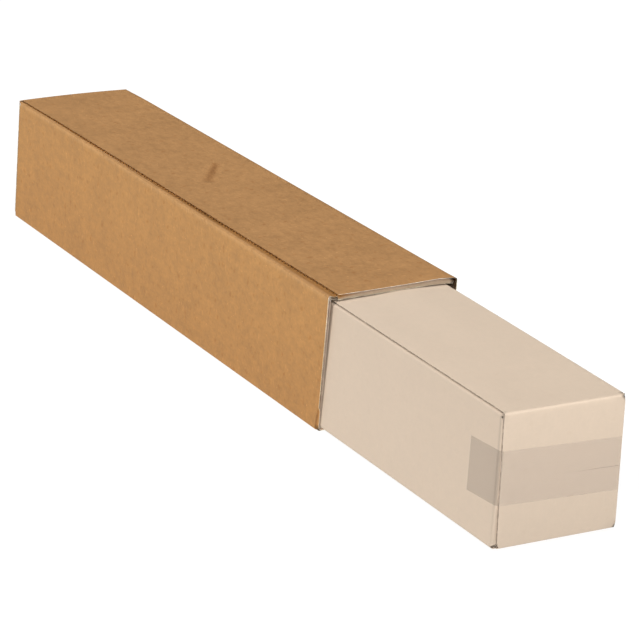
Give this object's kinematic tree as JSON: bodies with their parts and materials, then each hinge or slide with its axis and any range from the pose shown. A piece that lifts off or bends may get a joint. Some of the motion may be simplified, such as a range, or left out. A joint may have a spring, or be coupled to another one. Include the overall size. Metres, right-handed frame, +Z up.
{
  "type": "telescoping cardboard mailing tube",
  "caption": "Square mailing tube of corrugated board: an inner box with a taped end slides in a brown outer box to suit the length of what is posted.",
  "frame": {"origin": "middle of the whole part's footprint, on the surface it lies on", "axes": "+X along the tube towards the inner box's taped end, +Z up, the glued long edges at -Y"},
  "size_m": [0.9822, 0.135, 0.135],
  "materials": {
    "brown_board": "matt kraft liner",
    "pale_board": "matt pale kraft liner",
    "clear_tape": "clear satin film"
  },
  "bodies": {
    "outer": {"outer_box": "brown_board"},
    "inner": {"inner_box": "pale_board", "inner_end_tape": "clear_tape"}
  },
  "joints": [
    {"name": "inner_slide", "type": "slide", "parent": "outer", "child": "inner", "axis": [1, 0, 0], "range_m": [-0.2855, 0.4]}
  ]
}
